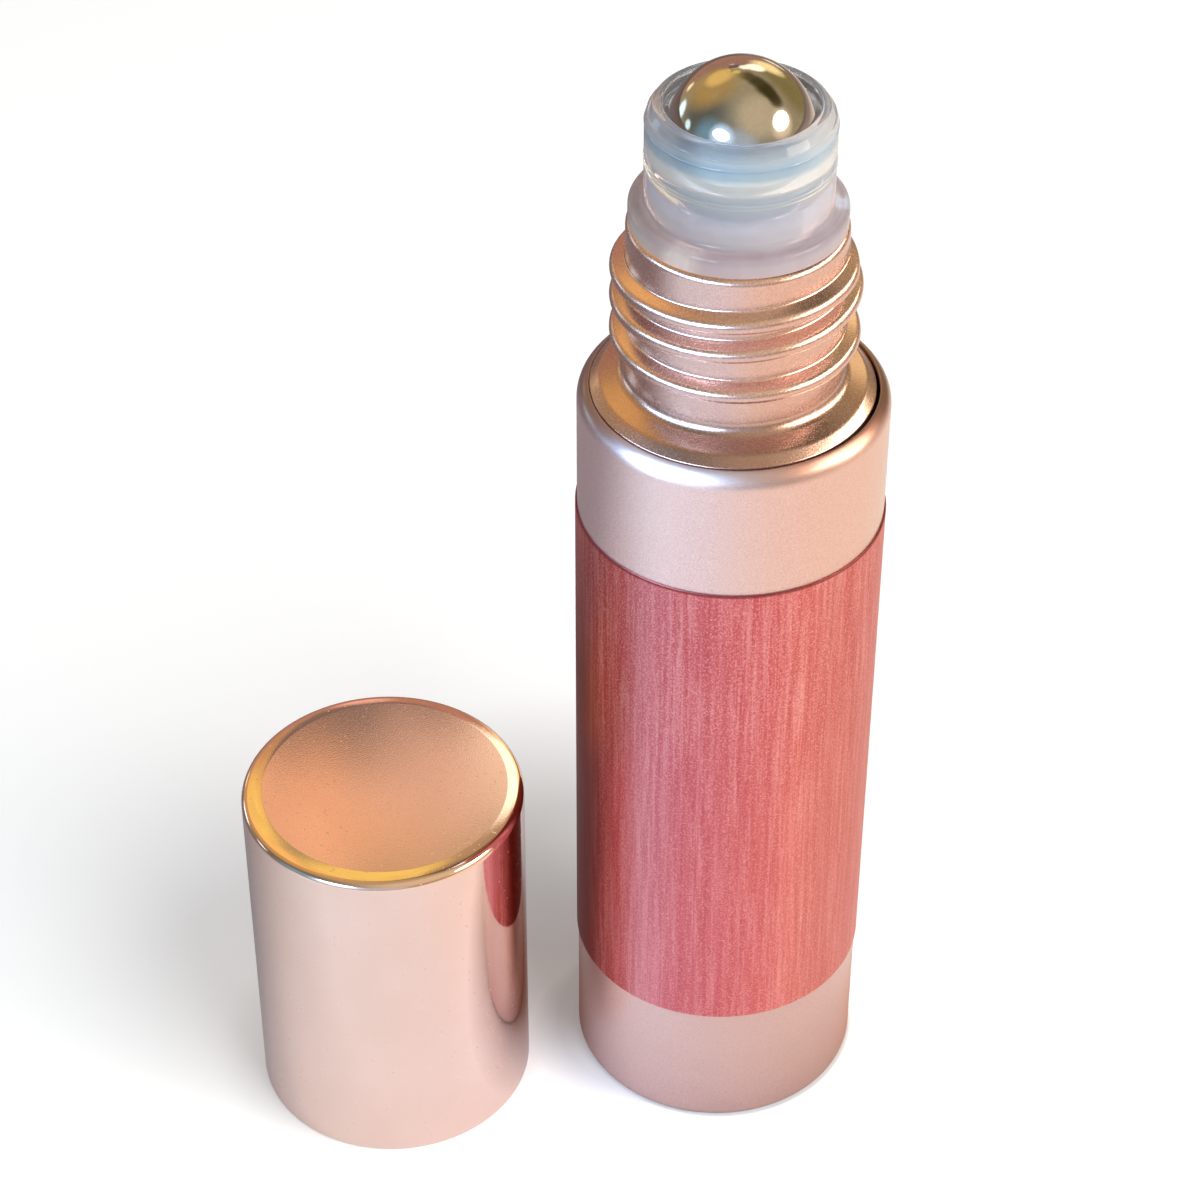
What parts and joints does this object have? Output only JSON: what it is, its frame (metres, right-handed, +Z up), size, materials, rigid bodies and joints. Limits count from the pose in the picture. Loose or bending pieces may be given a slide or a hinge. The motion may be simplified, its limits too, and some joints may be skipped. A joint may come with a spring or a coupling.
{
  "type": "roll-on bottle",
  "caption": "Slim upright roll-on bottle for oil: metal shell around a vial, plastic housing with a steel ball, wrap label, and a screw cap standing beside it.",
  "frame": {"origin": "centre of the bottle's flat base, on the surface that it stands on", "axes": "+Z up along the bottle's axis; -Y towards the side that the picture shows; the cap stands on the -X side"},
  "size_m": [0.043, 0.0245, 0.0813],
  "materials": {
    "satin_rose_lacquer": "satin rose-gold lacquer on aluminium",
    "glossy_rose_lacquer": "glass with an opaque glossy rose-gold lacquer outside",
    "rose_label_film": "printed rose film with a fine grained matte laminate",
    "milky_plastic": "milky translucent polyethylene",
    "polished_steel": "mirror polished stainless steel",
    "polished_rose_metal": "polished rose-gold anodised aluminium",
    "white_plastic": "moulded white polypropylene"
  },
  "bodies": {
    "bottle": {"outer_shell": "satin_rose_lacquer", "inner_vial": "glossy_rose_lacquer", "wrap_label": "rose_label_film", "roller_housing": "milky_plastic"},
    "ball": {"roller_ball": "polished_steel"},
    "cap": {"cap_shell": "polished_rose_metal", "cap_liner": "white_plastic"}
  },
  "joints": [
    {"name": "ball_roll", "type": "hinge", "parent": "bottle", "child": "ball", "pos_m": [-0.00009, 0.00006, 0.0768], "axis": [1, 0, 0], "continuous": true},
    {"name": "cap_lift", "type": "slide", "parent": "bottle", "child": "cap", "axis": [0, 0, 1], "range_m": [0, 0.085]}
  ]
}
